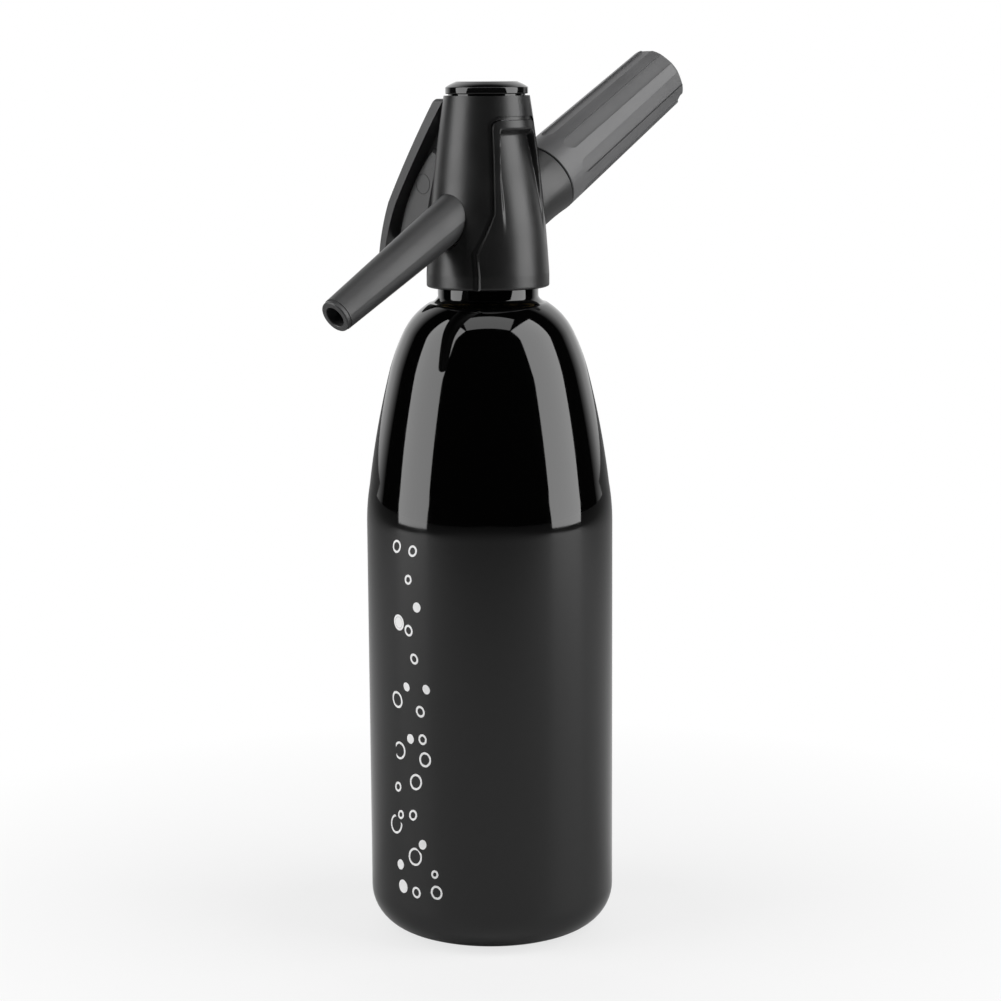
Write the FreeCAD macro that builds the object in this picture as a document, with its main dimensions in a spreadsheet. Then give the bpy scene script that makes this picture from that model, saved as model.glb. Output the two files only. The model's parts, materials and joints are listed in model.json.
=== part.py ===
import FreeCAD, Part
import math
import os
import re
import Sketcher

# Soda siphon: a one litre aluminium bottle with a screwed-on dispensing head.
# Frame: millimetres, +Z up, origin at the centre of the bottle's foot on the surface it stands on.
# The nozzle points to -Y, the charger holder to +Y, the lever hangs on -X, the thumb panel is on +X.

SIZES = [
    ("bottle_radius", 45.0, "outside radius of the bottle"),
    ("bottle_wall", 1.2, "thickness of the drawn aluminium"),
    ("base_corner", 14.7, "radius that rolls the side into the foot"),
    ("foot_width", 2.6, "flat ring that the bottle stands on"),
    ("base_dome", 6.0, "height of the dome pushed up into the base"),
    ("straight_height", 152.0, "height of the straight side"),
    ("low_rise", 14.0, "shoulder, first arc: its height"),
    ("low_share", 0.0448, "shoulder, first arc: its share of the draw to the neck"),
    ("low_arc", 82.0, "shoulder, first arc: radius"),
    ("mid_rise", 42.5, "shoulder, long arc: its height"),
    ("mid_share", 0.2985, "shoulder, long arc: its share of the draw to the neck"),
    ("mid_arc", 330.0, "shoulder, long arc: radius"),
    ("high_rise", 12.8, "shoulder, third arc: its height"),
    ("high_share", 0.1791, "shoulder, third arc: its share of the draw to the neck"),
    ("high_arc", 85.0, "shoulder, third arc: radius"),
    ("crown_rise", 10.9, "shoulder, crown: its height"),
    ("crown_share", 0.3582, "shoulder, crown: its share of the draw to the neck"),
    ("crown_arc", 25.0, "shoulder, crown: radius"),
    ("root_rise", 2.3, "hollow where the crown meets the neck: its height"),
    ("root_arc", 4.0, "hollow where the crown meets the neck: radius"),
    ("neck_radius", 18.2, "smooth neck"),
    ("neck_bare", 4.5, "smooth neck below the thread"),
    ("thread_radius", 17.2, "neck thread, over its crests"),
    ("thread_height", 13.0, "height of the threaded neck"),
    ("running_gap", 0.08, "radial gap between parts that turn or slide in each other"),
    ("fitting_gap", 0.05, "gap between fixed parts that fit in each other"),
    ("skirt_gap", 3.5, "neck left showing under the head"),
    ("gasket_height", 2.0, "thickness of the neck gasket"),
    ("gasket_width", 3.4, "width of the neck gasket"),
    ("collar_wall", 2.2, "wall of the threaded collar"),
    ("head_height", 68.2, "casing, bottom edge to top face"),
    ("skirt_radius", 22.2, "casing radius at its bottom edge"),
    ("skirt_band", 5.0, "height of the casing's straight band"),
    ("head_top_radius", 15.45, "casing radius at its top face"),
    ("casing_arc", 690.0, "radius of the casing's bowed side"),
    ("casing_wall", 2.2, "thickness of the casing above its shelf"),
    ("casing_top_wall", 2.5, "thickness of the casing's top"),
    ("casing_edge", 0.9, "rounding of the casing's lower edge"),
    ("flange_height", 3.5, "flange of the valve block"),
    ("column_radius", 11.0, "column of the valve block"),
    ("cap_gap", 0.6, "dark line between the casing and the cap"),
    ("cap_radius", 14.85, "cap radius at its band"),
    ("cap_band", 2.5, "height of the cap's band"),
    ("cap_bevel_rise", 2.0, "height of the cap's bevel"),
    ("cap_face_radius", 10.8, "radius of the cap's flat face"),
    ("cap_spigot_radius", 8.0, "spigot that snaps into the casing"),
    ("cap_spigot_depth", 1.2, "how far the spigot goes into the casing"),
    ("cap_spigot_wall", 1.8, "wall of the spigot"),
    ("screw_radius", 2.0, "shank of the casing screw"),
    ("screw_head_radius", 3.8, "head of the casing screw"),
    ("screw_head_height", 2.2, "height of the screw's head"),
    ("screw_length", 12.0, "shank below the screw's head"),
    ("seam_gap", 0.15, "gap round the thumb panel"),
    ("seam_width", 1.5, "groove round the thumb panel"),
    ("seam_depth", 0.7, "depth of that groove"),
    ("panel_top", 59.6, "panel's top edge above the casing's bottom"),
    ("panel_knee", 27.0, "height where the panel starts to widen"),
    ("panel_hip", 13.0, "height where the panel stops widening"),
    ("panel_top_half", 10.1, "half width of the panel at its top"),
    ("panel_knee_half", 12.3, "half width of the panel at the knee"),
    ("panel_hip_half", 17.4, "half width of the panel at the hip"),
    ("panel_corner", 2.6, "rounded top corners of the panel"),
    ("scoop_top", 57.0, "top of the thumb scoop above the casing's bottom"),
    ("scoop_ledge", 3.2, "height of the sloping ledge over the scoop"),
    ("scoop_height", 19.5, "height of the thumb scoop"),
    ("scoop_depth", 3.9, "deepest cut of the scoop"),
    ("scoop_top_half", 5.4, "half width of the scoop under its ledge"),
    ("scoop_foot_half", 8.8, "half width of the scoop at its foot"),
    ("scoop_wall", 1.6, "wall behind the scoop"),
    ("nozzle_slope", 29.3, "fall of the nozzle below the horizontal, degrees"),
    ("nozzle_height", 35.7, "nozzle axis above the casing's bottom at the head axis"),
    ("nozzle_length", 83.1, "end of the nozzle tube, along its axis from the head axis"),
    ("nozzle_root", 17.0, "start of the full nozzle tube on its axis"),
    ("nozzle_root_radius", 8.1, "nozzle radius at its root"),
    ("nozzle_tip_radius", 6.15, "nozzle radius at its tip"),
    ("nozzle_spigot_radius", 5.5, "spigot of the nozzle in the valve block"),
    ("nozzle_spigot_start", 11.8, "inner end of that spigot on the nozzle axis"),
    ("nozzle_port_radius", 3.2, "water passage in the nozzle"),
    ("nozzle_seat_depth", 1.6, "how far the nozzle's spigot goes into the valve block"),
    ("seal_width", 1.5, "width of the nozzle's seal"),
    ("insert_length", 24.0, "sleeve of the spout insert inside the nozzle"),
    ("insert_lip", 1.8, "lip of the insert that stands out of the nozzle"),
    ("insert_lip_radius", 5.9, "radius of that lip"),
    ("insert_radius", 4.9, "radius of the insert's sleeve"),
    ("insert_bore", 3.8, "outlet bore of the insert"),
    ("insert_edge", 0.5, "rounding of the insert's lip"),
    ("holder_slope", 30.0, "rise of the charger holder above the horizontal, degrees"),
    ("holder_height", 20.7, "holder axis above the casing's bottom at the head axis"),
    ("socket_end", 33.4, "outer end of the charger socket on the holder axis"),
    ("socket_start", 14.0, "inner end of the charger socket on the holder axis"),
    ("socket_root_radius", 13.0, "charger socket radius at its root"),
    ("socket_end_radius", 13.6, "charger socket radius at the seam"),
    ("socket_bore", 11.3, "bore of the charger socket"),
    ("socket_seam", 0.4, "seam between the socket and the holder"),
    ("stud_radius", 10.3, "threaded stud, over its crests"),
    ("stud_start", 20.0, "inner end of the stud's thread on the holder axis"),
    ("stud_end", 42.5, "outer end of the stud"),
    ("stud_bore", 5.0, "bore for the charger's neck"),
    ("stud_bore_start", 34.0, "bottom of that bore on the holder axis"),
    ("stud_spigot_radius", 6.4, "spigot of the stud in the valve block"),
    ("stud_spigot_length", 6.0, "length of that spigot"),
    ("pin_radius", 0.9, "piercing pin"),
    ("pin_flange_radius", 3.0, "flange of the piercing pin"),
    ("pin_flange_height", 1.5, "height of that flange"),
    ("gas_port_radius", 1.1, "gas passage"),
    ("gas_port_reach", 7.0, "gas port in the flange, from the head axis towards the holder"),
    ("riser_radius", 1.6, "water passage from the dip tube to the valve"),
    ("riser_reach", 4.2, "that passage from the head axis, towards the thumb panel"),
    ("boss_wall", 2.0, "metal round the bores of the valve block's bosses"),
    ("charger_radius", 9.0, "steel charger, body radius"),
    ("charger_length", 65.0, "steel charger, overall length"),
    ("charger_neck_radius", 4.3, "steel charger, neck radius"),
    ("charger_neck_length", 7.5, "steel charger, straight neck"),
    ("charger_shoulder", 11.0, "steel charger, height of its shoulder"),
    ("charger_seal_height", 2.0, "rubber seal under the charger's tip"),
    ("charger_play", 0.4, "gap round the charger in its holder"),
    ("charger_end_play", 0.3, "gap at each end of the charger"),
    ("cushion_height", 1.2, "pad in the closed end of the holder"),
    ("cushion_radius", 7.5, "radius of that pad"),
    ("holder_end_wall", 2.0, "closed end of the holder"),
    ("holder_mouth_radius", 13.65, "holder radius at its open end"),
    ("holder_end_radius", 12.3, "holder radius at its closed end"),
    ("holder_end_round", 1.6, "rounding of the holder's closed end"),
    ("holder_thread_depth", 10.0, "depth of the holder's thread"),
    ("flute_count", 8, "flutes round the holder"),
    ("flute_width", 5.6, "width of a flute"),
    ("flute_depth", 1.05, "depth of a flute at its middle"),
    ("flute_start", 7.8, "where the flutes start behind the holder's open end"),
    ("tube_radius", 4.0, "dip tube, outside"),
    ("tube_wall", 0.9, "dip tube, wall"),
    ("tube_floor_gap", 3.0, "dip tube above the base's dome"),
    ("tube_socket_depth", 9.0, "how far the dip tube goes into the valve block"),
    ("tube_ring_radius", 6.5, "stop ring on the dip tube"),
    ("tube_ring_height", 2.6, "height of the stop ring"),
    ("valve_height", 36.0, "valve axis above the casing's bottom"),
    ("stem_radius", 2.4, "pusher of the valve stem"),
    ("stem_reach", 25.5, "outer tip of the stem from the head axis"),
    ("stem_tail_radius", 1.3, "tail of the stem inside its spring"),
    ("stem_tail_length", 3.2, "length of that tail"),
    ("poppet_radius", 4.0, "flange of the stem behind its washer"),
    ("poppet_height", 1.4, "thickness of that flange"),
    ("washer_height", 1.2, "valve washer"),
    ("washer_radius", 4.3, "valve washer, outside radius"),
    ("passage_radius", 3.2, "passage round the stem"),
    ("gland_radius", 4.4, "stem gland"),
    ("gland_length", 5.0, "length of the gland in the valve block"),
    ("stem_seal_height", 1.7, "seal round the stem, with its end clearance"),
    ("gland_flange_radius", 5.4, "flange of the gland"),
    ("gland_flange_height", 1.2, "thickness of the gland's flange"),
    ("chamber_radius", 5.4, "spring chamber"),
    ("chamber_start", 1.2, "valve seat from the head axis"),
    ("plug_flange_radius", 6.4, "flange of the chamber plug"),
    ("plug_flange_height", 1.0, "thickness of the plug's flange"),
    ("plug_depth", 2.5, "plug inside the spring chamber"),
    ("spring_wire", 0.35, "wire radius of the valve spring"),
    ("spring_radius", 3.0, "middle radius of the valve spring"),
    ("spring_turns", 4, "turns of the valve spring"),
    ("pivot_reach", 11.0, "lever pivot from the head axis"),
    ("pivot_height", 60.0, "lever pivot above the casing's bottom"),
    ("pivot_pin_radius", 1.25, "lever pin"),
    ("ear_thickness", 2.0, "ears that hold the lever pin"),
    ("ear_round", 1.9, "ears beyond the pin's centre"),
    ("slot_height", 9.5, "height of the lever's slot in the casing"),
    ("slot_side_gap", 0.4, "gap beside the lever's tongue"),
    ("tongue_width", 7.0, "width of the lever's tongue"),
    ("tongue_round", 2.8, "end radius of the lever's tongue"),
    ("lever_travel", 8.0, "swing of the lever, degrees"),
    ("lever_width", 16.0, "width of the lever's outer plate"),
    ("lever_plate_top", 4.9, "horizontal thickness of the plate at its top"),
    ("lever_plate_foot", 2.5, "horizontal thickness of the plate at its foot"),
    ("lever_top_reach", 18.9, "plate's top outer corner from the head axis"),
    ("lever_top", 67.0, "plate's top above the casing's bottom"),
    ("lever_bend_reach", 43.9, "plate's outer face at the bend"),
    ("lever_bend", 29.2, "height of the bend"),
    ("lever_foot_reach", 50.0, "plate's outer face at its foot"),
    ("lever_foot", 3.0, "plate's foot above the casing's bottom"),
    ("plate_bend_depth", 3.5, "horizontal thickness of the plate at its bend"),
    ("plate_bend_drop", 1.0, "inner bend below the outer one"),
    ("lever_top_arc", 390.0, "bow of the plate above the bend"),
    ("lever_foot_arc", 75.0, "bow of the plate below the bend"),
    ("lever_corner", 5.0, "rounded lower corners of the plate"),
    ("lever_top_corner", 1.6, "rounded upper corners of the plate"),
    ("lever_head_gap", 0.6, "gap between the lever and the casing"),
    ("travel_gap", 0.35, "gap left between the pulled lever and the casing"),
    ("web_width", 4.4, "thin web of the lever"),
    ("pad_width", 8.0, "thick web of the lever"),
    ("pad_top", 49.0, "top of the thick web above the casing's bottom"),
    ("web_foot", 14.0, "foot of the web above the casing's bottom"),
    ("web_toe", 4.0, "inner foot corner of the thin web above its foot"),
    ("web_sink", 1.5, "how far the web's edge lies in the plate"),
    ("web_crown", 8.0, "top of the thin web below the plate's top"),
    ("web_crown_reach", 3.5, "top of the thin web beyond the plate's top corner"),
    ("pad_setback", 1.6, "groove between the thick web and the plate"),
    ("pad_bevel", 0.9, "bevel of the thick web's rim"),
    ("pad_toe", 5.0, "inner foot corner of the thick web above the thin web's foot"),
    ("pad_foot_rise", 1.0, "thick web's foot above the thin web's"),
    ("pad_brow_arc", 60.0, "bow of the thick web's upper edge"),
    ("pad_brow_reach", 3.5, "how far that edge runs out level"),
    ("pad_brow_drop", 2.5, "inner corner of the thick web below its top"),
    ("cross_pin_radius", 3.6, "cross pin that pushes the stem"),
    ("cross_pin_reach", 29.5, "cross pin from the head axis"),
    ("notch_height", 8.6, "height of the notch for the stem"),
    ("notch_gap", 0.6, "gap under and beside the stem in its notch"),
    ("casing_bow", 0.6, "how far the casing's side bows out of a straight cone"),
]

# Heights and reaches that several pieces share, as formulas of the sizes above.
SHARED = {
    "low_top": "straight_height + low_rise",
    "mid_top": "low_top + mid_rise",
    "high_top": "mid_top + high_rise",
    "crown_top": "high_top + crown_rise",
    "neck_base": "crown_top + root_rise",
    "neck_draw": "bottle_radius - neck_radius",
    "low_radius": "bottle_radius - low_share * neck_draw",
    "mid_radius": "low_radius - mid_share * neck_draw",
    "high_radius": "mid_radius - high_share * neck_draw",
    "crown_radius": "high_radius - crown_share * neck_draw",
    "thread_base": "neck_base + neck_bare",
    "rim": "thread_base + thread_height",
    "head_base": "neck_base + skirt_gap",
    "flange_base": "rim + gasket_height",
    "flange_top": "flange_base + flange_height",
    "head_top": "head_base + head_height",
    "casing_top_inside": "head_top - casing_top_wall",
    "collar_bore": "thread_radius + running_gap",
    "collar_radius": "collar_bore + collar_wall",
    "skirt_bore": "collar_radius + fitting_gap",
    "shelf_radius": "skirt_bore - 1.4",
    "cavity_top_radius": "head_top_radius - casing_wall + 0.3",
    "cap_base": "head_top + cap_gap",
    "screw_seat": "head_top - cap_spigot_depth - fitting_gap",
    "valve_level": "head_base + valve_height",
    "nozzle_level": "head_base + nozzle_height",
    "holder_level": "head_base + holder_height",
    "pivot_level": "head_base + pivot_height",
    "holder_mouth": "socket_end + socket_seam",
    "charger_tip": "stud_bore_start + pin_flange_height + charger_seal_height + charger_end_play",
    "charger_base": "charger_tip + charger_length",
    "holder_floor": "charger_base + charger_end_play + cushion_height",
    "holder_end": "holder_floor + holder_end_wall",
    "tube_bore": "tube_radius + running_gap",
    "tube_top": "flange_base + tube_socket_depth",
    "tube_foot": "base_dome + bottle_wall + tube_floor_gap",
    "gland_start": "column_radius - gland_length",
    "plug_seat": "column_radius + boss_wall",
    "plug_start": "plug_seat - plug_depth",
    "stem_tail_end": "chamber_start + washer_height + poppet_height + stem_tail_length",
}

doc = FreeCAD.newDocument("SodaSiphon")
UP = FreeCAD.Rotation()
DOWN_NOZZLE = FreeCAD.Rotation(FreeCAD.Vector(1, 0, 0), 120)
UP_HOLDER = FreeCAD.Rotation(FreeCAD.Vector(-1, 0, 0), 60)
TO_LEVER = FreeCAD.Rotation(FreeCAD.Vector(0, 0, 1), 180)
ALONG_X = FreeCAD.Rotation(FreeCAD.Vector(0, 1, 0), 90)
ALONG_Y = FreeCAD.Rotation(FreeCAD.Vector(1, 0, 0), -90)


def fill_sheet():
    """Write the driving sizes, one row each: the value, then what it is."""
    page = doc.addObject("Spreadsheet::Sheet", "Sizes")
    for row, (alias, value, note) in enumerate(SIZES, start=1):
        page.set("A%d" % row, "%g" % value)
        page.setAlias("A%d" % row, alias)
        page.set("B%d" % row, note)
    doc.recompute()
    return page


sheet = fill_sheet()
ALIASES = {alias for alias, value, note in SIZES}


def spelled_out(text):
    """A formula with every shared name replaced by its own formula, down to sheet cells."""
    def swap(found):
        word = found.group(0)
        if word in SHARED:
            return "(" + spelled_out(SHARED[word]) + ")"
        return "Sizes." + word if word in ALIASES else word
    return re.sub(r"[A-Za-z_][A-Za-z_0-9]*", swap, str(text))


def value_of(text):
    """The number that a formula gives now."""
    return float(sheet.evalExpression(spelled_out(text)))


def bind(thing, **formulas):
    """Tie an object's properties to formulas; a double underscore stands for a dot."""
    for name, text in formulas.items():
        thing.setExpression(name.replace("__", "."), spelled_out(text))
    return thing


def new_body(label):
    """An empty body with its own name."""
    made = doc.addObject("PartDesign::Body", label)
    made.Label = label
    return made


def place(thing, turn=UP, tilt=None, **at):
    """Stand an object at x, y, z formulas, turned; tilt is the formula of its angle."""
    thing.Placement = FreeCAD.Placement(FreeCAD.Vector(), turn)
    if tilt is not None:
        bind(thing, Placement__Rotation__Angle=tilt)
    for letter, text in at.items():
        thing.setExpression("Placement.Base." + letter, spelled_out(text))
    return thing


def on_nozzle_axis(thing):
    """Local +Z runs down the nozzle from the head axis."""
    return place(thing, DOWN_NOZZLE, "90 + nozzle_slope", z="nozzle_level")


def on_holder_axis(thing):
    """Local +Z runs up the charger holder from the head axis."""
    return place(thing, UP_HOLDER, "90 - holder_slope", z="holder_level")


def new_sketch(body, role, name="Outline"):
    """A sketch on one of the body's own planes: XY, XZ or YZ."""
    drawn = body.newObject("Sketcher::SketchObject", name)
    plane = [f for f in body.Origin.OriginFeatures if f.Role == role + "_Plane"][0]
    drawn.AttachmentSupport = [(plane, "")]
    drawn.MapMode = "FlatFace"
    return drawn


def middle_of_arc(start, end, radius):
    """A third point of the arc from start to end; a positive radius bends to the right."""
    chord = end - start
    half = chord.Length / 2
    sag = abs(radius) - math.sqrt(max(radius * radius - half * half, 0))
    side = FreeCAD.Vector(chord.y, -chord.x, 0).normalize()
    return (start + end) * 0.5 + side * (sag if radius > 0 else -sag)


def draw(sketch, corners):
    """Draw a closed outline whose corners and arcs are tied to formulas.

    Arcs are drawn anticlockwise, so one that bulges to the left runs from its far end back.

    A corner is (x, y) or (x, y, radius). The radius makes the edge that arrives there an arc,
    bulging to the right of its direction of travel, or to the left with a leading minus.
    """
    points = [FreeCAD.Vector(value_of(c[0]), value_of(c[1]), 0) for c in corners]
    count = len(corners)
    ends = []
    for i, end in enumerate(points):
        start = points[i - 1]
        radius = value_of(corners[i][2]) if len(corners[i]) == 3 else 0
        if radius > 0:
            sketch.addGeometry(Part.Arc(start, middle_of_arc(start, end, radius), end), False)
        elif radius < 0:
            sketch.addGeometry(Part.Arc(end, middle_of_arc(start, end, radius), start), False)
        else:
            sketch.addGeometry(Part.LineSegment(start, end), False)
        ends.append((2, 1) if radius < 0 else (1, 2))
    for i in range(count):
        following = (i + 1) % count
        joint = (i, ends[i][1], following, ends[following][0])
        sketch.addConstraint(Sketcher.Constraint("Coincident", *joint))
    for i, corner in enumerate(corners):
        tie_point(sketch, i, ends[i][1], corner, points[i])
        if len(corner) == 3:
            radius = corner[2].lstrip("-")
            index = sketch.addConstraint(Sketcher.Constraint("Radius", i, value_of(radius)))
            sketch.setExpression("Constraints[%d]" % index, spelled_out(radius))
    return sketch


def tie_point(sketch, edge, end, corner, point):
    """Hold one end of an edge at its formulas, measured from the sketch's origin."""
    across = ("DistanceX", -2, corner[0], point.x)
    up = ("DistanceY", -1, corner[1], point.y)
    for kind, axis, text, value in (across, up):
        if text == "0":
            sketch.addConstraint(Sketcher.Constraint("PointOnObject", edge, end, axis))
        else:
            index = sketch.addConstraint(Sketcher.Constraint(kind, -1, 1, edge, end, value))
            sketch.setExpression("Constraints[%d]" % index, spelled_out(text))


def turned(label, *outlines):
    """A body turned about its local Z; later outlines are grooves cut from the first."""
    body = new_body(label)
    for number, corners in enumerate(outlines):
        sketch = draw(new_sketch(body, "XZ"), corners)
        feature = body.newObject("PartDesign::Groove" if number else "PartDesign::Revolution", "Turn")
        feature.Profile = sketch
        feature.ReferenceAxis = (sketch, ["V_Axis"])
        feature.Angle = 360
        sketch.Visibility = False
    doc.recompute()
    return body


def rod(radius, low, high):
    """Outline of a solid cylinder about Z."""
    return [("0", low), (radius, low), (radius, high), ("0", high)]


def ring(inner, outer, low, high):
    """Outline of a hollow cylinder about Z."""
    return [(inner, low), (outer, low), (outer, high), (inner, high)]


def padded(label, role, corners, width, low=None):
    """A body pulled from one outline: symmetric about its plane, or up from a height."""
    body = new_body(label)
    sketch = draw(new_sketch(body, role), corners)
    add_pad(body, sketch, width, low)
    return body


def add_pad(body, sketch, width, low=None):
    """Pull a sketch into a solid, symmetric, or starting at a height above its plane."""
    feature = body.newObject("PartDesign::Pad", "Pad")
    feature.Profile = sketch
    bind(feature, Length=width)
    if low is None:
        feature.Midplane = True
    else:
        bind(sketch, AttachmentOffset__Base__z=low)
    doc.recompute()
    return feature


def edges_of(body, wanted):
    """The tip of a body with the names of its edges that the test picks."""
    doc.recompute()
    tip = body.Tip
    return tip, ["Edge%d" % (i + 1) for i, edge in enumerate(tip.Shape.Edges) if wanted(edge)]


def round_edges(body, radius, wanted, name="Round"):
    """Round the edges of the body's tip that the test picks."""
    edges = edges_of(body, wanted)
    feature = body.newObject("PartDesign::Fillet", name)
    feature.Base = edges
    bind(feature, Radius=radius)
    doc.recompute()
    return feature


def bevel_edges(body, size, wanted, name="Bevel"):
    """Bevel the edges of the body's tip that the test picks."""
    edges = edges_of(body, wanted)
    feature = body.newObject("PartDesign::Chamfer", name)
    feature.Base = edges
    bind(feature, Size=size)
    doc.recompute()
    return feature


def boolean(kind, label, *pieces):
    """A Part boolean of two or more objects: Cut, Common or Fuse."""
    made = doc.addObject("Part::Cut" if kind == "Cut" else "Part::Multi" + kind, label)
    made.Label = label
    if kind == "Cut":
        made.Base, made.Tool = pieces
    else:
        made.Shapes = list(pieces)
    doc.recompute()
    return made


def joined(*pieces):
    """Several tools as one."""
    return boolean("Fuse", "Tools", *pieces)


def at_height(low, high):
    """Test for an edge that lies whole between two heights."""
    return lambda edge: low < edge.BoundBox.ZMin and edge.BoundBox.ZMax < high


def bottle():
    """Drawn bottle: the outside turned as a solid, then hollowed by an inner outline one wall in."""
    dome_width = "(bottle_radius - base_corner - foot_width)"
    dome_arc = "(%s^2 + base_dome^2) / (2 * base_dome)" % dome_width
    outside = [
        ("0", "base_dome"),
        (dome_width, "0", "-(%s)" % dome_arc),
        ("bottle_radius - base_corner", "0"),
        ("bottle_radius", "base_corner", "base_corner"),
        ("bottle_radius", "straight_height"),
        ("low_radius", "low_top", "low_arc"),
        ("mid_radius", "mid_top", "mid_arc"),
        ("high_radius", "high_top", "high_arc"),
        ("crown_radius", "crown_top", "crown_arc"),
        ("neck_radius", "neck_base", "-root_arc"),
        ("neck_radius", "thread_base"),
        ("thread_radius", "thread_base"),
        ("thread_radius", "rim"),
        ("0", "rim"),
    ]
    inside = [
        ("0", "base_dome + bottle_wall"),
        (dome_width, "bottle_wall", "-(%s)" % dome_arc),
        ("bottle_radius - base_corner", "bottle_wall"),
        ("bottle_radius - bottle_wall", "base_corner", "base_corner - bottle_wall"),
        ("bottle_radius - bottle_wall", "straight_height"),
        ("low_radius - bottle_wall", "low_top", "low_arc - bottle_wall"),
        ("mid_radius - bottle_wall", "mid_top", "mid_arc - bottle_wall"),
        ("high_radius - bottle_wall", "high_top - 0.3 * bottle_wall", "high_arc - bottle_wall"),
        ("crown_radius - 0.8 * bottle_wall", "crown_top - 0.8 * bottle_wall", "crown_arc - bottle_wall"),
        ("thread_radius - bottle_wall", "neck_base", "-(root_arc + bottle_wall)"),
        ("thread_radius - bottle_wall", "rim + 1"),
        ("0", "rim + 1"),
    ]
    return turned("bottle", outside, inside)


def neck_gasket():
    """Flat rubber ring on the bottle's rim."""
    return turned("neck_gasket", ring(
        "thread_radius - gasket_width", "thread_radius", "rim", "flange_base"))


def dip_tube():
    """Straight plastic tube from the valve block down to the base."""
    return turned("dip_tube", ring("tube_radius - tube_wall", "tube_radius", "tube_foot", "tube_top"))


def tube_ring():
    """Stop ring that holds the dip tube up against the valve block."""
    return turned("tube_ring", [
        ("tube_radius", "flange_base - tube_ring_height"),
        ("tube_ring_radius - 0.8", "flange_base - tube_ring_height"),
        ("tube_ring_radius", "flange_base - tube_ring_height + 0.8"),
        ("tube_ring_radius", "flange_base"),
        ("tube_radius", "flange_base"),
    ])


def neck_collar():
    """Threaded collar in the skirt, which screws on to the bottle's neck."""
    return turned("neck_collar", ring("collar_bore", "collar_radius", "thread_base + 0.6", "flange_base"))


def casing_side(offset="0"):
    """Outline of the casing as a solid, drawn in by an offset."""
    return [
        ("0", "head_base"),
        ("skirt_radius - (%s)" % offset, "head_base"),
        ("skirt_radius - (%s)" % offset, "head_base + skirt_band"),
        ("head_top_radius - (%s)" % offset, "head_top", "casing_arc"),
        ("0", "head_top"),
    ]


def casing_core():
    """The casing's inside: skirt bore, shelf over the flange, and the cavity above."""
    return turned("CasingCore", [
        ("0", "head_base - 2"),
        ("skirt_bore", "head_base - 2"),
        ("skirt_bore", "flange_top"),
        ("shelf_radius", "flange_top"),
        ("cavity_top_radius", "casing_top_inside", "casing_arc"),
        ("0", "casing_top_inside"),
    ])


def panel_outline(label, grow):
    """Block behind the thumb panel's outline, grown by a gap, from the head axis out to +X."""
    body = new_body(label)
    sketch = new_sketch(body, "YZ")
    right = [
        ("panel_hip_half + %s" % grow, "head_base - 3"),
        ("panel_hip_half + %s" % grow, "head_base + panel_hip"),
        ("panel_knee_half + %s" % grow, "head_base + panel_knee"),
        ("panel_top_half + %s" % grow, "head_base + panel_top + %s" % grow),
    ]
    left = [("-(%s)" % across, up) for across, up in reversed(right)]
    draw(sketch, right + left)
    add_pad(body, sketch, "2 * skirt_radius", "3")
    top = value_of("head_base + panel_top + %s" % grow)
    round_edges(body, "panel_corner + %s" % grow, lambda e: abs(e.BoundBox.ZMin - top) < 1e-4
                and e.BoundBox.YLength < 1e-4)
    return body


def scoop_block(label, grow, behind):
    """Loft that hollows the thumb scoop: flush at its foot, deepest under a sloping ledge."""
    stations = [
        ("scoop_top + %s" % grow, "0.6 * scoop_depth", "scoop_top_half - 0.6 + %s" % grow),
        ("scoop_top - scoop_ledge + %s" % grow, "scoop_depth", "scoop_top_half + %s" % grow),
        ("scoop_top - scoop_height - %s" % grow, "0.1", "scoop_foot_half + %s" % grow),
    ]
    sections = []
    for rise, depth, half in stations:
        face = "(skirt_radius - (skirt_radius - head_top_radius) * (%s) / head_height + 0.7)" % rise
        floor = "%s - %s - (%s)" % (face, depth, behind)
        sketch = doc.addObject("Sketcher::SketchObject", "ScoopStation")
        draw(sketch, [(floor, "-(%s) + 1.5" % half), ("skirt_radius + 6", "-(%s)" % half),
                      ("skirt_radius + 6", half), (floor, "%s - 1.5" % half)])
        place(sketch, z="head_base + %s" % rise)
        sections.append(sketch)
    made = doc.addObject("Part::Loft", label)
    made.Sections = sections
    made.Solid = True
    made.Ruled = True
    doc.recompute()
    return made


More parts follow.
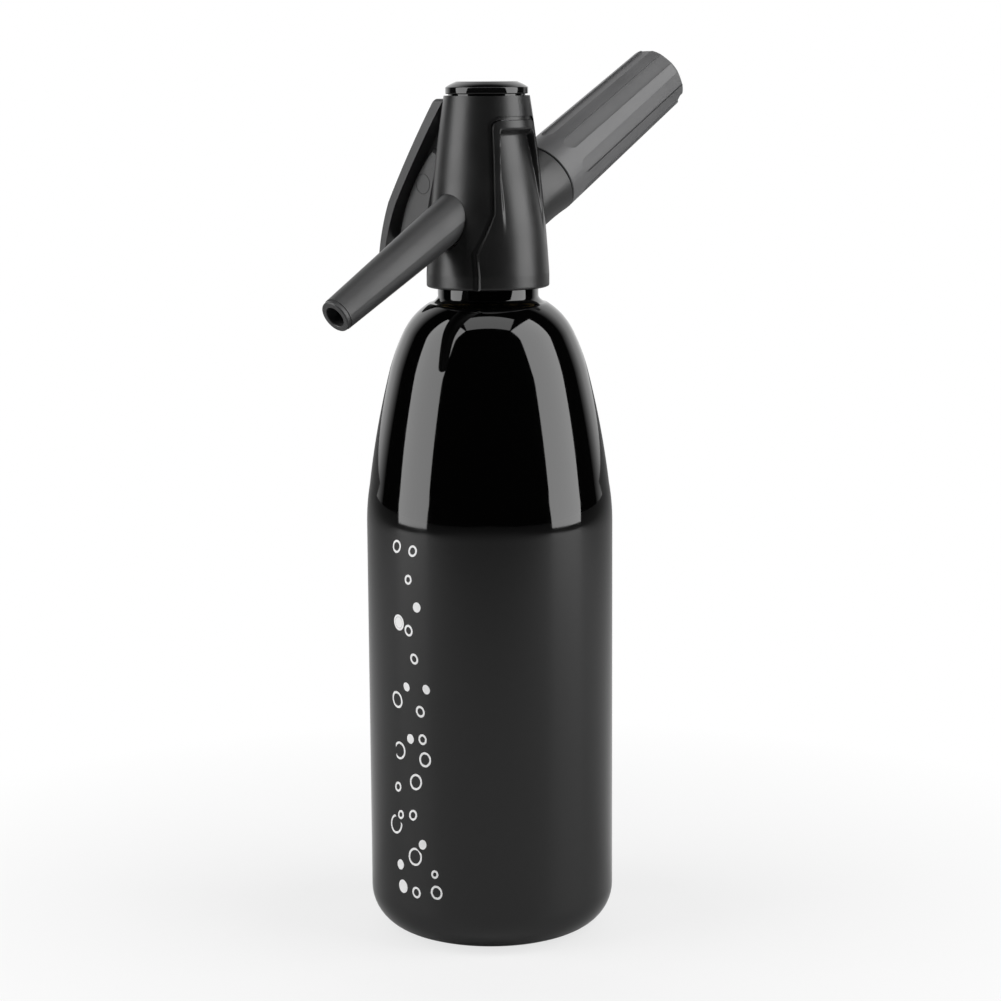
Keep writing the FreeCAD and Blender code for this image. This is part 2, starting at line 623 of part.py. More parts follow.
def head_casing_and_panel():
    """The moulded casing with its thumb panel let into the +X side, two separate pieces."""
    outer = turned("CasingSide", casing_side())
    round_edges(outer, "casing_edge", at_height(value_of("head_base") - 0.1, value_of("head_base") + 0.1))
    core = casing_core()
    blank = boolean("Cut", "CasingBlank", outer, core)
    inner_side = turned("SeamFloor", casing_side("seam_depth"))
    groove = boolean("Cut", "SeamGroove", panel_outline("SeamOutline", "seam_width"), inner_side)
    nozzle_hole = on_nozzle_axis(turned("NozzleHole", rod("nozzle_root_radius + fitting_gap", "2", "40")))
    socket_hole = on_holder_axis(turned("SocketHole", rod("socket_root_radius + 0.35", "4", "40")))
    stem_hole = place(turned("StemHole", rod("stem_radius + 0.6", "4", "40")),
                      FreeCAD.Rotation(FreeCAD.Vector(0, -1, 0), 90), z="valve_level")
    slot = place(padded("LeverSlot", "XZ", [
        ("6", "pivot_level - slot_height / 2"), ("30", "pivot_level - slot_height / 2"),
        ("30", "pivot_level + slot_height / 2"), ("6", "pivot_level + slot_height / 2"),
    ], "tongue_width + 2 * slot_side_gap"), TO_LEVER)
    cap_seat = turned("CapSeat", rod("cap_spigot_radius + fitting_gap", "screw_seat", "head_top + 1"))
    screw_hole = turned("ScrewHole", rod("screw_radius + fitting_gap", "casing_top_inside - 2", "head_top"))
    holes = joined(nozzle_hole, socket_hole, stem_hole, slot, cap_seat, screw_hole,
                   panel_outline("PanelGap", "seam_gap"), groove)
    casing = boolean("Cut", "head_casing", blank, holes)

    panel_blank = boolean("Common", "PanelBlank", blank, panel_outline("PanelOutline", "0"))
    pan = boolean("Common", "ScoopPan", scoop_block("PanOutside", "0.8", "scoop_wall"),
                  outer, panel_outline("PanelKeep", "0"))
    full = joined(panel_blank, pan)
    panel = boolean("Cut", "thumb_panel", full, joined(scoop_block("ScoopInside", "0", "0"), socket_hole))
    return casing, panel, core


def top_cap():
    """Turned cap with a bevelled face, snapped into the casing over the screw."""
    return turned("top_cap", [
        ("cap_spigot_radius - cap_spigot_wall", "screw_seat"),
        ("cap_spigot_radius", "screw_seat"),
        ("cap_spigot_radius", "cap_base"),
        ("cap_radius - 0.4", "cap_base"),
        ("cap_radius", "cap_base + 0.4", "0.4"),
        ("cap_radius", "cap_base + cap_band"),
        ("cap_face_radius", "cap_base + cap_band + cap_bevel_rise", "14"),
        ("0", "cap_base + cap_band + cap_bevel_rise"),
        ("0", "cap_base + cap_band + cap_bevel_rise - 1.8"),
        ("cap_spigot_radius - cap_spigot_wall", "cap_base + cap_band + cap_bevel_rise - 1.8"),
    ])


def casing_screw():
    """Screw from the casing's top into the valve block, hidden by the cap."""
    return turned("casing_screw", [
        ("0", "screw_seat - screw_length"),
        ("screw_radius - 0.6", "screw_seat - screw_length"),
        ("screw_radius", "screw_seat - screw_length + 0.6"),
        ("screw_radius", "screw_seat"),
        ("screw_head_radius", "screw_seat"),
        ("screw_head_radius", "screw_seat + screw_head_height - 0.7"),
        ("screw_head_radius - 0.7", "screw_seat + screw_head_height", "0.7"),
        ("1.2", "screw_seat + screw_head_height"),
        ("1.2", "screw_seat + screw_head_height - 1.2"),
        ("0", "screw_seat + screw_head_height - 1.2"),
    ])


def valve_block():
    """Cast block in the head: flange, column, bosses for nozzle and charger, ears for the lever."""
    column = turned("BlockColumn", [
        ("0", "flange_base"),
        ("skirt_bore - fitting_gap", "flange_base"),
        ("skirt_bore - fitting_gap", "flange_top"),
        ("column_radius + 2", "flange_top"),
        ("column_radius", "flange_top + 2", "-2"),
        ("column_radius", "casing_top_inside"),
        ("0", "casing_top_inside"),
    ])
    nozzle_boss = on_nozzle_axis(turned("NozzleBoss", rod(
        "nozzle_spigot_radius + boss_wall", "4", "nozzle_spigot_start + nozzle_seat_depth")))
    charger_boss = on_holder_axis(turned("ChargerBoss", rod("stud_radius", "6", "stud_start")))
    valve_boss = place(turned("ValveBoss", rod("plug_flange_radius", "5", "plug_seat")),
                       ALONG_X, z="valve_level")
    ears = place(padded("LeverEars", "XZ", [
        ("4", "pivot_level - 4"), ("pivot_reach", "pivot_level - 4"),
        ("pivot_reach + ear_round", "pivot_level - 1"), ("pivot_reach + ear_round", "pivot_level + 1"),
        ("pivot_reach", "pivot_level + 4"), ("4", "pivot_level + 4"),
    ], "tongue_width + 2 * slot_side_gap + 2 * ear_thickness"), TO_LEVER)
    cast = joined(column, nozzle_boss, charger_boss, valve_boss, ears)

    tongue_room = place(padded("TongueRoom", "XZ", [
        ("pivot_reach - tongue_round - 0.8", "pivot_level - 5.2"), ("30", "pivot_level - 5.2"),
        ("30", "pivot_level + 5.2"), ("pivot_reach - tongue_round - 0.8", "pivot_level + 5.2"),
    ], "tongue_width + 2 * slot_side_gap"), TO_LEVER)
    pin_hole = place(turned("PinHole", rod("pivot_pin_radius", "-lever_width", "lever_width")),
                     ALONG_Y, x="-pivot_reach", z="pivot_level")
    tube_socket = turned("TubeSocket", rod("tube_bore", "flange_base - 1", "tube_top + 0.3"))
    riser = place(turned("Riser", rod("riser_radius", "tube_top - 1", "valve_level")), x="riser_reach")
    gas_drop = place(turned("GasDrop", rod(
        "gas_port_radius", "flange_base - 1", "holder_level + gas_port_reach * tan(holder_slope)")),
        y="gas_port_reach")
    gas_way = on_holder_axis(turned("GasWay", rod(
        "gas_port_radius", "gas_port_reach / cos(holder_slope)", "stud_start")))
    stud_socket = on_holder_axis(turned("StudSocket", rod(
        "stud_spigot_radius", "stud_start - stud_spigot_length", "stud_start + 1")))
    water_way = on_nozzle_axis(turned("WaterWay", rod("nozzle_port_radius", "1", "nozzle_spigot_start")))
    seat_radius = "nozzle_spigot_radius + seal_width + 0.2"
    nozzle_socket = on_nozzle_axis(turned("NozzleSocket", [
        ("0", "nozzle_spigot_start"), ("nozzle_spigot_radius + fitting_gap", "nozzle_spigot_start"),
        ("nozzle_spigot_radius + fitting_gap", "nozzle_spigot_start + nozzle_seat_depth"),
        (seat_radius, "nozzle_spigot_start + nozzle_seat_depth"),
        (seat_radius, "nozzle_root - 0.5"), ("nozzle_root_radius + 0.5", "nozzle_root - 0.5"),
        ("nozzle_root_radius + 0.5", "nozzle_root + 10"), ("0", "nozzle_root + 10"),
    ]))
    screw_bore = turned("ScrewBore", rod("screw_radius", "screw_seat - screw_length - 0.5", "head_top"))
    valve_way = place(turned("ValveWay", [
        ("0", "-(column_radius + 4)"), ("gland_radius", "-(column_radius + 4)"),
        ("gland_radius", "-gland_start"),
        ("passage_radius", "-gland_start"), ("passage_radius", "chamber_start"),
        ("chamber_radius", "chamber_start"),
        ("chamber_radius", "column_radius + 3"), ("0", "column_radius + 3"),
    ]), ALONG_X, z="valve_level")
    ways = joined(tongue_room, pin_hole, tube_socket, riser, gas_drop, gas_way, stud_socket, water_way,
                  nozzle_socket, screw_bore, valve_way)
    return boolean("Cut", "valve_block", cast, ways)


def valve_train():
    """Stem with its washer, gland, seal, spring and plug, all on the valve axis along X."""
    along = dict(z="valve_level")
    seat = "chamber_start + washer_height"
    stem = place(turned("valve_stem", [
        ("0", "-stem_reach"), ("stem_radius - 0.5", "-stem_reach"),
        ("stem_radius", "-stem_reach + 0.5", "0.5"),
        ("stem_radius", seat), ("poppet_radius", seat), ("poppet_radius", "%s + poppet_height" % seat),
        ("stem_tail_radius", "%s + poppet_height" % seat), ("stem_tail_radius", "stem_tail_end"),
        ("0", "stem_tail_end"),
    ]), ALONG_X, **along)
    washer = place(turned("valve_washer", ring(
        "stem_radius", "washer_radius", "chamber_start", seat)), ALONG_X, **along)
    gland = place(turned("stem_gland", [
        ("stem_radius + running_gap", "-(column_radius + gland_flange_height)"),
        ("gland_flange_radius", "-(column_radius + gland_flange_height)"),
        ("gland_flange_radius", "-column_radius"),
        ("gland_radius - fitting_gap", "-column_radius"),
        ("gland_radius - fitting_gap", "-(gland_start + stem_seal_height + 0.1)"),
        ("stem_radius + running_gap", "-(gland_start + stem_seal_height + 0.1)"),
    ]), ALONG_X, **along)
    seal = place(turned("stem_seal", ring(
        "stem_radius + running_gap", "gland_radius - fitting_gap",
        "-(gland_start + stem_seal_height)", "-(gland_start + 0.1)")), ALONG_X, **along)
    plug = place(turned("chamber_plug", [
        ("0", "plug_start"), ("chamber_radius - fitting_gap", "plug_start"),
        ("chamber_radius - fitting_gap", "plug_seat"), ("plug_flange_radius", "plug_seat"),
        ("plug_flange_radius", "plug_seat + plug_flange_height"),
        ("0", "plug_seat + plug_flange_height"),
    ]), ALONG_X, **along)
    return [stem, washer, gland, seal, plug, valve_spring()]


def valve_spring():
    """Open coil spring between the stem's flange and the chamber plug."""
    low = "chamber_start + washer_height + poppet_height + spring_wire + 0.05"
    high = "plug_start - spring_wire - 0.05"
    coil = doc.addObject("Part::Helix", "SpringCoil")
    bind(coil, Radius="spring_radius", Height="(%s) - (%s)" % (high, low),
         Pitch="((%s) - (%s)) / spring_turns" % (high, low))
    wire = doc.addObject("Part::Circle", "SpringWire")
    wire.Placement = FreeCAD.Placement(FreeCAD.Vector(), FreeCAD.Rotation(FreeCAD.Vector(1, 0, 0), 90))
    bind(wire, Radius="spring_wire", Placement__Base__x="spring_radius")
    swept = doc.addObject("Part::Sweep", "valve_spring")
    swept.Label = "valve_spring"
    swept.Sections = [wire]
    swept.Spine = (coil, ["Edge1"])
    swept.Solid = True
    swept.Frenet = True
    return place(swept, ALONG_X, x=low, z="valve_level")


def lever_plate_outline():
    """Side view of the lever's outer plate, bowed above and below its bend."""
    return [
        ("lever_top_reach - lever_plate_top", "lever_top"),
        ("lever_bend_reach - plate_bend_depth", "lever_bend - plate_bend_drop", "-lever_top_arc"),
        ("lever_foot_reach - lever_plate_foot", "lever_foot", "-lever_foot_arc"),
        ("lever_foot_reach", "lever_foot"),
        ("lever_bend_reach", "lever_bend", "lever_foot_arc"),
        ("lever_top_reach", "lever_top", "lever_top_arc"),
    ]


def web_reach(height):
    """How far from the head axis the web's inner edge lies, so that the lever clears the casing."""
    side = "(skirt_radius - (skirt_radius - head_top_radius) * (%s) / head_height + casing_bow)" % height
    return "%s + (pivot_height - (%s)) * tan(lever_travel) + lever_head_gap" % (side, height)


def lever():
    """Moulded lever: bowed plate, thin web, thick web with a rounded rim, and the pivot tongue.

    It is drawn with the casing's bottom at height 0, then lifted to the head.
    """
    body = new_body("LeverBlank")
    plate = draw(new_sketch(body, "XZ", "Plate"), lever_plate_outline())
    add_pad(body, plate, "lever_width")
    foot, top = value_of("lever_foot"), value_of("lever_top")
    half = value_of("lever_width / 2")

    def corner_at(level):
        return lambda e: (abs(e.BoundBox.ZMin - level) < 1e-3 and abs(e.BoundBox.ZMax - level) < 1e-3
                          and abs(abs(e.CenterOfMass.y) - half) < 1e-3)
    round_edges(body, "lever_corner", corner_at(foot), "FootCorners")
    round_edges(body, "lever_top_corner", corner_at(top), "TopCorners")

    crown_level = "lever_top - web_crown"
    web = padded("ThinWeb", "XZ", [
        (web_reach("web_foot"), "web_foot + web_toe"),
        ("lever_bend_reach + web_sink", "web_foot"),
        ("lever_bend_reach - web_sink", "lever_bend"),
        ("lever_top_reach + web_crown_reach", crown_level),
        (web_reach("lever_top - 1.4 * web_crown"), crown_level),
    ], "web_width")
    brow_reach = web_reach("pad_top - pad_brow_drop")
    pad = padded("ThickWeb", "XZ", [
        (web_reach("web_foot"), "web_foot + pad_toe"),
        ("lever_bend_reach + pad_foot_rise - pad_setback", "web_foot + pad_foot_rise"),
        ("lever_bend_reach - plate_bend_depth - pad_setback", "lever_bend", "lever_foot_arc"),
        (brow_reach + " + pad_brow_reach", "pad_top", "pad_brow_arc"),
        (brow_reach, "pad_top - pad_brow_drop"),
    ], "pad_width")
    width = value_of("pad_width / 2")
    bevel_edges(pad, "pad_bevel", lambda e: abs(abs(e.CenterOfMass.y) - width) < 1e-3
                and e.BoundBox.YLength < 1e-3)
    tongue = padded("Tongue", "XZ", [
        ("pivot_reach", "pivot_height - tongue_round", "1.0001 * tongue_round"),
        ("lever_top_reach + web_crown_reach", "pivot_height - tongue_round"),
        ("lever_top_reach", "pivot_height + tongue_round"),
        ("pivot_reach", "pivot_height + tongue_round"),
    ], "tongue_width")
    head_room = place(turned("LeverHeadRoom", casing_side("-lever_head_gap")), z="-head_base")
    plate_only = boolean("Cut", "LeverPlate", body, head_room)
    pulled_head = place(
        turned("PulledHeadRoom", casing_side("-travel_gap")), FreeCAD.Rotation(FreeCAD.Vector(0, -1, 0), 1),
        "lever_travel", x="pivot_reach * (1 - cos(lever_travel)) + pivot_level * sin(lever_travel)",
        z="pivot_height - pivot_reach * sin(lever_travel) - pivot_level * cos(lever_travel)")
    swinging = boolean("Cut", "SwingingPart", joined(plate_only, web, pad), pulled_head)
    solid = joined(swinging, tongue)
    pivot = place(turned("PivotBore", rod("pivot_pin_radius + running_gap", "-lever_width", "lever_width")),
                  ALONG_Y, x="pivot_reach", z="pivot_height")
    cross = place(turned("CrossBore", rod("cross_pin_radius", "-lever_width", "lever_width")),
                  ALONG_Y, x="cross_pin_reach", z="valve_height")
    notch_foot = "valve_height - stem_radius - notch_gap"
    notch = padded("StemNotch", "XZ", [
        ("column_radius", notch_foot), ("cross_pin_reach", notch_foot),
        ("cross_pin_reach", notch_foot + " + notch_height"),
        ("column_radius", notch_foot + " + notch_height"),
    ], "2 * (stem_radius + notch_gap)")
    made = boolean("Cut", "lever", solid, joined(pivot, cross, notch))
    return place(made, TO_LEVER, z="head_base")


def lever_pins():
    """The pivot pin through the block's ears, and the cross pin that pushes the stem."""
    half = "(tongue_width / 2 + slot_side_gap + ear_thickness)"
    pivot = place(turned("lever_pin", rod("pivot_pin_radius", "-%s" % half, half)), ALONG_Y,
                  x="-pivot_reach", z="pivot_level")
    cross = place(turned("cross_pin", rod("cross_pin_radius", "-pad_width / 2", "pad_width / 2")), ALONG_Y,
                  x="-cross_pin_reach", z="valve_level")
    return [pivot, cross]


def nozzle(core):
    """Tapered nozzle tube seated in the block, its seal, and the spout insert in its end."""
    tube = on_nozzle_axis(turned("NozzleTube", [
        ("0", "nozzle_root"), ("nozzle_root_radius", "nozzle_root"),
        ("nozzle_tip_radius", "nozzle_length"), ("0", "nozzle_length"),
    ]))
    trimmed = boolean("Cut", "NozzleOutside", tube, core)
    spigot = on_nozzle_axis(turned("NozzleSpigot", rod(
        "nozzle_spigot_radius", "nozzle_spigot_start", "nozzle_root + nozzle_root_radius")))
    bore = on_nozzle_axis(turned("NozzleBore", [
        ("0", "nozzle_spigot_start - 1"), ("nozzle_port_radius", "nozzle_spigot_start - 1"),
        ("nozzle_port_radius", "nozzle_length - insert_length"),
        ("insert_radius + fitting_gap", "nozzle_length - insert_length"),
        ("insert_radius + fitting_gap", "nozzle_length + 1"), ("0", "nozzle_length + 1"),
    ]))
    made = boolean("Cut", "nozzle_tube", joined(trimmed, spigot), bore)
    insert = on_nozzle_axis(turned("spout_insert", [
        ("insert_bore", "nozzle_length - insert_length + 0.1"),
        ("insert_radius", "nozzle_length - insert_length + 0.1"),
        ("insert_radius", "nozzle_length"),
        ("insert_lip_radius", "nozzle_length"),
        ("insert_lip_radius", "nozzle_length + insert_lip - insert_edge"),
        ("insert_lip_radius - insert_edge", "nozzle_length + insert_lip", "insert_edge"),
        ("insert_bore + 0.2", "nozzle_length + insert_lip"),
        ("insert_bore", "nozzle_length + insert_lip - 0.2"),
    ]))
    seal = on_nozzle_axis(turned("nozzle_seal", ring(
        "nozzle_spigot_radius", "nozzle_spigot_radius + seal_width",
        "nozzle_spigot_start + nozzle_seat_depth", "nozzle_spigot_start + nozzle_seat_depth + seal_width")))
    return [made, insert, seal]


def charger_socket(core):
    """Smooth sleeve on the head that the charger holder butts against."""
    blank = on_holder_axis(turned("SocketBlank", [
        ("socket_bore", "socket_start"), ("socket_root_radius", "socket_start"),
        ("socket_root_radius", "socket_start + 8"),
        ("socket_end_radius", "socket_end - 0.3", "-90"),
        ("socket_end_radius - 0.3", "socket_end"), ("socket_bore", "socket_end"),
    ]))
    return boolean("Cut", "charger_socket", blank, core)


def charger_stud():
    """Threaded metal stud that carries the holder, with the piercing pin and seal in its bore."""
    stud = on_holder_axis(turned("charger_stud", [
        ("0", "stud_start - stud_spigot_length"),
        ("stud_spigot_radius", "stud_start - stud_spigot_length"), ("stud_spigot_radius", "stud_start"),
        ("stud_radius", "stud_start"), ("stud_radius", "stud_end - 0.8"), ("stud_radius - 0.8", "stud_end"),
        ("0", "stud_end"),
    ], rod("gas_port_radius", "stud_start - stud_spigot_length - 1", "stud_bore_start"),
        rod("stud_bore", "stud_bore_start", "stud_end + 1")))
    pin = on_holder_axis(turned("piercing_pin", [
        ("0.4", "stud_bore_start"), ("pin_flange_radius", "stud_bore_start"),
        ("pin_flange_radius", "stud_bore_start + pin_flange_height"),
        ("pin_radius", "stud_bore_start + pin_flange_height"),
        ("pin_radius", "charger_tip - 1.0"), ("0.4", "charger_tip - 0.1"),
    ]))
    seal = on_holder_axis(turned("charger_seal", ring(
        "pin_radius + 0.3", "stud_bore", "stud_bore_start + pin_flange_height",
        "stud_bore_start + pin_flange_height + charger_seal_height")))
    filter_disc = on_holder_axis(turned("gas_filter", ring(
        "pin_flange_radius", "stud_bore", "stud_bore_start", "stud_bore_start + pin_flange_height - 0.3")))
    return [stud, pin, seal, filter_disc]


def gas_charger():
    """Standard steel gas charger: neck, rounded shoulder, straight body, domed base."""
    neck_end = "charger_tip + charger_neck_length"
    shoulder_end = neck_end + " + charger_shoulder"
    return on_holder_axis(turned("gas_charger", [
        ("0", "charger_tip"), ("charger_neck_radius - 1", "charger_tip"),
        ("charger_neck_radius", "charger_tip + 1", "1"),
        ("charger_neck_radius", neck_end),
        ("charger_radius", shoulder_end, "12.5"),
        ("charger_radius", "charger_base - 6"),
        ("charger_radius - 6", "charger_base", "6"),
        ("0", "charger_base"),
    ]))


def charger_holder():
    """Screw-on holder: tapered cup with long flutes, open at the far end of each flute."""
    body = turned("charger_holder", [
        ("0", "holder_mouth"), ("holder_mouth_radius - 0.3", "holder_mouth"),
        ("holder_mouth_radius", "holder_mouth + 0.3"),
        ("holder_end_radius", "holder_end"), ("0", "holder_end"),
    ], rod("stud_radius + running_gap", "holder_mouth - 1", "holder_mouth + holder_thread_depth"),
        rod("charger_radius + charger_play", "holder_mouth + 1", "holder_floor"))
    end = value_of("holder_end")
    round_edges(body, "holder_end_round",
                lambda e: e.BoundBox.ZMin > end - 0.01 and e.BoundBox.XLength > 10)
    flute = new_sketch(body, "YZ", "Flute")
    half = "flute_width / 2"
    start = "holder_mouth + flute_start"
    draw(flute, [
        (half, "%s + %s" % (start, half), "1.0001 * " + half), (half, "holder_end + 5"),
        ("-" + half, "holder_end + 5"), ("-" + half, "%s + %s" % (start, half)),
    ])
    lean = "atan((holder_mouth_radius - holder_end_radius) / (holder_end - holder_mouth))"
    foot = "holder_mouth_radius - flute_depth + holder_mouth * tan(%s)" % lean
    flute.AttachmentOffset = FreeCAD.Placement(
        FreeCAD.Vector(), FreeCAD.Rotation(FreeCAD.Vector(-1, 0, 0), 1))
    bind(flute, AttachmentOffset__Rotation__Angle=lean, AttachmentOffset__Base__z=foot)
    pocket = body.newObject("PartDesign::Pocket", "FlutePocket")
    pocket.Profile = flute
    pocket.Reversed = True
    pocket.Length = 8
    doc.recompute()
    pattern = body.newObject("PartDesign::PolarPattern", "Flutes")
    pattern.Originals = [pocket]
    axis = [f for f in body.Origin.OriginFeatures if f.Role == "Z_Axis"][0]
    pattern.Axis = (axis, [""])
    pattern.Angle = 360
    bind(pattern, Occurrences="flute_count")
    body.Tip = pattern
    doc.recompute()
    return on_holder_axis(body)


def holder_cushion():
    """Rubber pad that takes up the play behind the charger."""
    return on_holder_axis(turned("holder_cushion", rod(
        "cushion_radius", "holder_floor - cushion_height", "holder_floor")))


def write(pieces):
    """Check every object of the document and every piece, then write one STEP file per piece."""
    doc.recompute()
    for thing in doc.Objects:
        if "Invalid" in thing.State or "Error" in thing.State:
            raise RuntimeError("%s did not build: %s" % (thing.Label, thing.State))
    for piece in pieces:
        if piece.Shape.isNull() or not piece.Shape.isValid() or not piece.Shape.Solids:
            raise RuntimeError("%s has no valid solid" % piece.Label)
    os.makedirs("parts", exist_ok=True)
    for piece in pieces:
        shape = piece.Shape
        shape.exportStep("parts/%s.step" % piece.Label)
        print("%-16s %d solid(s) %9.1f mm3" % (piece.Label, len(shape.Solids), shape.Volume))


casing, panel, core = head_casing_and_panel()
pieces = [bottle(), neck_gasket(), dip_tube(), tube_ring(), neck_collar(), casing, panel, top_cap(),
          casing_screw(), valve_block(), lever(), charger_socket(core), gas_charger(), charger_holder(),
          holder_cushion()]
pieces += valve_train() + lever_pins() + nozzle(core) + charger_stud()
write(pieces)
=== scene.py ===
"""Looks of the soda siphon: finishes, the turned bottle skin, its print, and the studio.

Everything is in metres in the part's own frame: +Z up, origin under the bottle's foot,
nozzle to -Y, charger holder to +Y, lever on -X, thumb panel on +X.
"""

from __future__ import annotations

import json
import logging
import math
from dataclasses import dataclass
from enum import Enum
from typing import Any

import bmesh
import bpy
import numpy as np
from mathutils import Matrix, Vector

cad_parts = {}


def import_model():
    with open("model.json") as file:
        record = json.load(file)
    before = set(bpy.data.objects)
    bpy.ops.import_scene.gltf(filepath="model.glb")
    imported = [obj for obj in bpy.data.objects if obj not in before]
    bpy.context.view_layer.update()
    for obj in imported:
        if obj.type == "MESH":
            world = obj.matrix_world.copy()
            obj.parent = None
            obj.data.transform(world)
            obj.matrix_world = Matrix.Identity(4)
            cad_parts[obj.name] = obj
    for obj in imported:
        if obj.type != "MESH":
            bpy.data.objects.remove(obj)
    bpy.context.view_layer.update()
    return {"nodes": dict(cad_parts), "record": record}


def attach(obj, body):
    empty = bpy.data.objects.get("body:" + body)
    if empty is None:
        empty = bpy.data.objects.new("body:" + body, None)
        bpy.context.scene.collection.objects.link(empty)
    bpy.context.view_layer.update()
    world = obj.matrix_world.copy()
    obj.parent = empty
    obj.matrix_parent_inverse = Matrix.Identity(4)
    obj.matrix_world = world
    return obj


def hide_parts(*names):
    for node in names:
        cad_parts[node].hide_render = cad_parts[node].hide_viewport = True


log = logging.getLogger("soda_siphon")

MM = 0.001


class Socket:
    """A node output whose arithmetic adds Math nodes to its tree."""

    def __init__(self, tree: bpy.types.NodeTree, output: bpy.types.NodeSocket) -> None:
        """Wrap one output of a tree."""
        self.tree = tree
        self.output = output

    def _math(self, operation: str, *values: Any) -> "Socket":
        """Add one Math node.

        Args:
            operation: the node's operation.
            values: numbers or sockets, in order.

        Returns:
            The node's value as a socket.
        """
        node = self.tree.nodes.new("ShaderNodeMath")
        node.operation = operation
        for slot, value in zip(node.inputs, values):
            if isinstance(value, Socket):
                self.tree.links.new(value.output, slot)
            else:
                slot.default_value = value
        return Socket(self.tree, node.outputs[0])

    def __add__(self, other: Any) -> "Socket":
        """self + other."""
        return self._math("ADD", self, other)

    __radd__ = __add__

    def __sub__(self, other: Any) -> "Socket":
        """self - other."""
        return self._math("SUBTRACT", self, other)

    def __rsub__(self, other: Any) -> "Socket":
        """other - self."""
        return self._math("SUBTRACT", other, self)

    def __mul__(self, other: Any) -> "Socket":
        """self * other."""
        return self._math("MULTIPLY", self, other)

    __rmul__ = __mul__

    def __truediv__(self, other: Any) -> "Socket":
        """self / other."""
        return self._math("DIVIDE", self, other)

    def __lt__(self, other: Any) -> "Socket":
        """1 where self is less than other."""
        return self._math("LESS_THAN", self, other)

    def __gt__(self, other: Any) -> "Socket":
        """1 where self is greater than other."""
        return self._math("GREATER_THAN", self, other)

    def call(self, operation: str, *values: Any) -> "Socket":
        """Any other Math operation with self first."""
        return self._math(operation, self, *values)

    def clamped(self) -> "Socket":
        """self held between 0 and 1."""
        return self._math("MINIMUM", self._math("MAXIMUM", self, 0.0), 1.0)


class Graph:
    """A node tree, with the one method that adds any node but Math."""

    def __init__(self, tree: bpy.types.NodeTree) -> None:
        """Wrap a tree."""
        self.tree = tree

    def node(self, kind: str, settings: dict[str, Any] | None = None, **inputs: Any) -> bpy.types.Node:
        """Add a node.

        Args:
            kind: the node's type.
            settings: properties set before the sockets.
            inputs: values or sockets by input name, with _ for a space.

        Returns:
            The node.
        """
        made = self.tree.nodes.new(kind)
        for key, value in (settings or {}).items():
            setattr(made, key, value)
        for key, value in inputs.items():
            self.feed(made, key.replace("_", " "), value)
        return made

    def feed(self, node: bpy.types.Node, name: str | int, value: Any) -> None:
        """Set or link one input of a node.

        Args:
            node: the node.
            name: the input's name, or its number where names repeat.
            value: a plain value or a socket.
        """
        slot = node.inputs[name]
        if isinstance(value, Socket):
            self.tree.links.new(value.output, slot)
        else:
            slot.default_value = value

    def out(self, node: bpy.types.Node, name: str | int = 0) -> Socket:
        """One output of a node, by name or number, as a socket."""
        return Socket(self.tree, node.outputs[name])


class Shader(Graph):
    """One material's node tree, with its Principled node."""

    def __init__(self, name: str) -> None:
        """Start a material with a Principled surface."""
        self.material = bpy.data.materials.new(name)
        self.material.use_nodes = True
        super().__init__(self.material.node_tree)
        self.surface = self.tree.nodes["Principled BSDF"]

    def set(self, **values: Any) -> "Shader":
        """Set or link Principled inputs by name."""
        for key, value in values.items():
            self.feed(self.surface, key.replace("_", " "), value)
        return self

    def place(self) -> bpy.types.Node:
        """The Texture Coordinate node."""
        return self.node("ShaderNodeTexCoord")

    def noise(self, scale: float, detail: float = 3.0,
              stretch: tuple[float, float, float] | None = None) -> Socket:
        """Noise over Object coordinates.

        Args:
            scale: how fine the noise is, in cycles per metre.
            detail: octaves added.
            stretch: factors on the coordinates, or None.

        Returns:
            A value from 0 to 1.
        """
        where = self.out(self.place(), "Object")
        if stretch:
            mapping = self.node("ShaderNodeMapping", None, Vector=where, Scale=stretch)
            where = self.out(mapping, "Vector")
        made = self.node("ShaderNodeTexNoise", None, Vector=where, Scale=scale, Detail=detail,
                         Roughness=0.55)
        return self.out(made, 0)

    def ramp(self, value: Socket, low: float, high: float, start: float, end: float) -> Socket:
        """Map value from start..end to low..high, clamped."""
        made = self.node("ShaderNodeMapRange", {"clamp": True}, Value=value, From_Min=start,
                         From_Max=end, To_Min=low, To_Max=high)
        return self.out(made, 0)

    def mix(self, factor: Any, first: Any, second: Any) -> Socket:
        """Mix two colours."""
        made = self.node("ShaderNodeMix", {"data_type": "RGBA"})
        for index, value in ((0, factor), (6, first), (7, second)):
            self.feed(made, index, value)
        return self.out(made, 2)

    def bump(self, height: Socket, strength: float, distance: float) -> Socket:
        """A bumped normal from a height."""
        made = self.node("ShaderNodeBump", None, Height=height, Strength=strength, Distance=distance)
        return self.out(made, "Normal")


def grey(value: float) -> tuple[float, float, float, float]:
    """A neutral colour, very slightly cool as black plastics are."""
    return (value, value, value * 1.02, 1.0)


@dataclass(frozen=True)
class MouldedPlastic:
    """Spark-eroded black plastic: fine grain in the surface, slight cloud in its gloss.

    Attributes:
        name: material name.
        shade: base grey.
        roughness: middle roughness.
        grain: size of the grain's bump in metres.
        grain_scale: how fine the grain is.
        specular: strength of the plain reflection.
    """

    name: str
    shade: float
    roughness: float
    grain: float = 0.00003
    grain_scale: float = 2600.0
    specular: float = 0.5

    def make(self) -> bpy.types.Material:
        """Build the material."""
        shader = Shader(self.name)
        cloud = shader.noise(55.0, 4.0)
        grain = shader.noise(self.grain_scale, 2.0)
        rough = shader.ramp(cloud, self.roughness - 0.05, self.roughness + 0.05, 0.3, 0.7)
        blend = shader.ramp(cloud, 0.0, 1.0, 0.35, 0.65)
        tone = shader.mix(blend, grey(self.shade * 0.93), grey(self.shade * 1.07))
        shader.set(Base_Color=tone, Roughness=rough, Normal=shader.bump(grain, 0.35, self.grain))
        shader.surface.inputs["Specular IOR Level"].default_value = self.specular
        return shader.material


